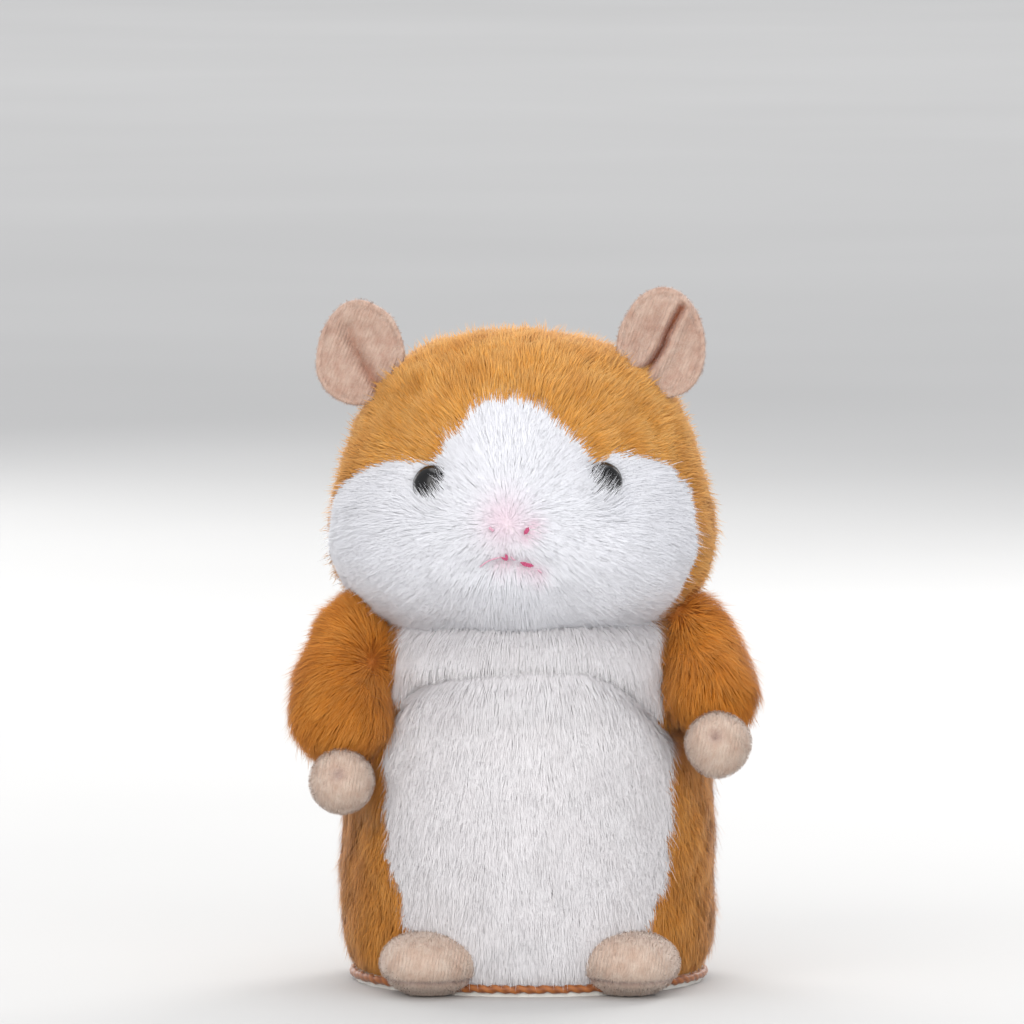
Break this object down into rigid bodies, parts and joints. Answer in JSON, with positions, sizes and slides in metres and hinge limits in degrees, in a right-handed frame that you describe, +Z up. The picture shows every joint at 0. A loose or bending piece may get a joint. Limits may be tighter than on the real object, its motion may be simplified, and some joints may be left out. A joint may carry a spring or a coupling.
{
  "type": "interactive plush pet",
  "caption": "Upright plush hamster whose head, chest and arms bob up and down on a motor drive; slide switch and battery door under its flat base.",
  "frame": {"origin": "centre of the outline, on the surface that the pet sits on", "axes": "+Z up, the face looks along -Y, +X is the viewer's right when looking at the face"},
  "size_m": [0.1036, 0.0857, 0.1502],
  "materials": {
    "orange_plush": "long-pile plush, soft",
    "white_plush": "long-pile plush, soft",
    "beige_fleece": "short-nap knitted fleece",
    "filling": "loose fibre",
    "eye_gloss": "high gloss",
    "pink_thread": "embroidery thread",
    "housing": "moulded, fine texture",
    "gear_plastic": "natural acetal",
    "black_plastic": "moulded",
    "board": "solder-masked board",
    "steel": "plated",
    "aluminium": "plain",
    "brass": "machined",
    "cell_jacket": "printed jacket, no text",
    "cone_paper": "pulp cone"
  },
  "bodies": {
    "base": {"base_plate": "housing", "battery_cell_1": "cell_jacket", "battery_cell_2": "cell_jacket", "battery_cell_3": "cell_jacket", "contact_spring_1": "steel", "contact_spring_2": "steel", "contact_spring_3": "steel", "contact_plate_left": "steel", "contact_plate_right": "steel", "switch_body": "black_plastic", "circuit_board": "board", "sound_chip": "black_plastic", "microphone": "aluminium", "speaker_frame": "steel", "speaker_cone": "cone_paper", "speaker_magnet": "steel", "front_shell": "housing", "rear_shell": "housing", "shell_screw_1": "steel", "shell_screw_2": "steel", "shell_screw_3": "steel", "shell_screw_4": "steel", "gear_axle_a": "steel", "gear_axle_b": "steel", "gearbox_front_plate": "housing", "gearbox_rear_plate": "housing", "motor": "steel", "guide_rod_left": "steel", "guide_rod_right": "steel", "body_plush": "orange_plush", "foot_left": "beige_fleece", "foot_right": "beige_fleece"},
    "upper": {"lifter_yoke": "gear_plastic", "head_carrier": "housing", "carrier_screw": "steel", "chest_plush": "white_plush", "head_plush_face": "white_plush", "head_plush_back": "orange_plush", "head_filling": "filling", "eye_left": "eye_gloss", "eye_right": "eye_gloss", "eye_washer_left": "gear_plastic", "eye_washer_right": "gear_plastic", "nose_stitching": "pink_thread", "mouth_stitching": "pink_thread", "ear_left": "beige_fleece", "ear_right": "beige_fleece", "arm_left": "orange_plush", "arm_right": "orange_plush", "hand_left": "beige_fleece", "hand_right": "beige_fleece"},
    "output": {"output_gear": "gear_plastic", "output_shaft": "steel", "lift_cam": "gear_plastic"},
    "gear_b": {"gear_b": "gear_plastic"},
    "gear_a": {"gear_a": "gear_plastic"},
    "motor_pinion": {"motor_pinion": "brass"},
    "door": {"battery_door": "housing", "battery_door_screw": "steel"},
    "switch": {"switch_knob": "black_plastic"}
  },
  "joints": [
    {"name": "head_lift", "type": "slide", "parent": "base", "child": "upper", "axis": [0, 0, 1], "range_m": [0, 0.008]},
    {"name": "output_turn", "type": "hinge", "parent": "base", "child": "output", "pos_m": [0, -0.008, 0.038], "axis": [0, 1, 0], "range_deg": [0, 180.5]},
    {"name": "gear_b_turn", "type": "hinge", "parent": "base", "child": "gear_b", "pos_m": [0.008, -0.007, 0.0312], "axis": [0, 1, 0], "range_deg": [-577, 0]},
    {"name": "gear_a_turn", "type": "hinge", "parent": "base", "child": "gear_a", "pos_m": [0.017, -0.005, 0.0366], "axis": [0, 1, 0], "range_deg": [0, 1844]},
    {"name": "motor_turn", "type": "hinge", "parent": "base", "child": "motor_pinion", "pos_m": [0.0105, -0.004, 0.04578], "axis": [0, 1, 0], "range_deg": [-7375, 0]},
    {"name": "battery_door_tilt", "type": "hinge", "parent": "base", "child": "door", "pos_m": [0, 0.0162, 0.0012], "axis": [1, 0, 0], "range_deg": [0, 60]},
    {"name": "switch_slide", "type": "slide", "parent": "base", "child": "switch", "axis": [1, 0, 0], "range_m": [0, 0.003]}
  ],
  "couplings": [
    {"joint": "output_turn", "follows": "head_lift", "rad_per_m": 392.7},
    {"joint": "gear_b_turn", "follows": "head_lift", "rad_per_m": -1256.6},
    {"joint": "gear_a_turn", "follows": "head_lift", "rad_per_m": 4021.2},
    {"joint": "motor_turn", "follows": "head_lift", "rad_per_m": -16085}
  ]
}
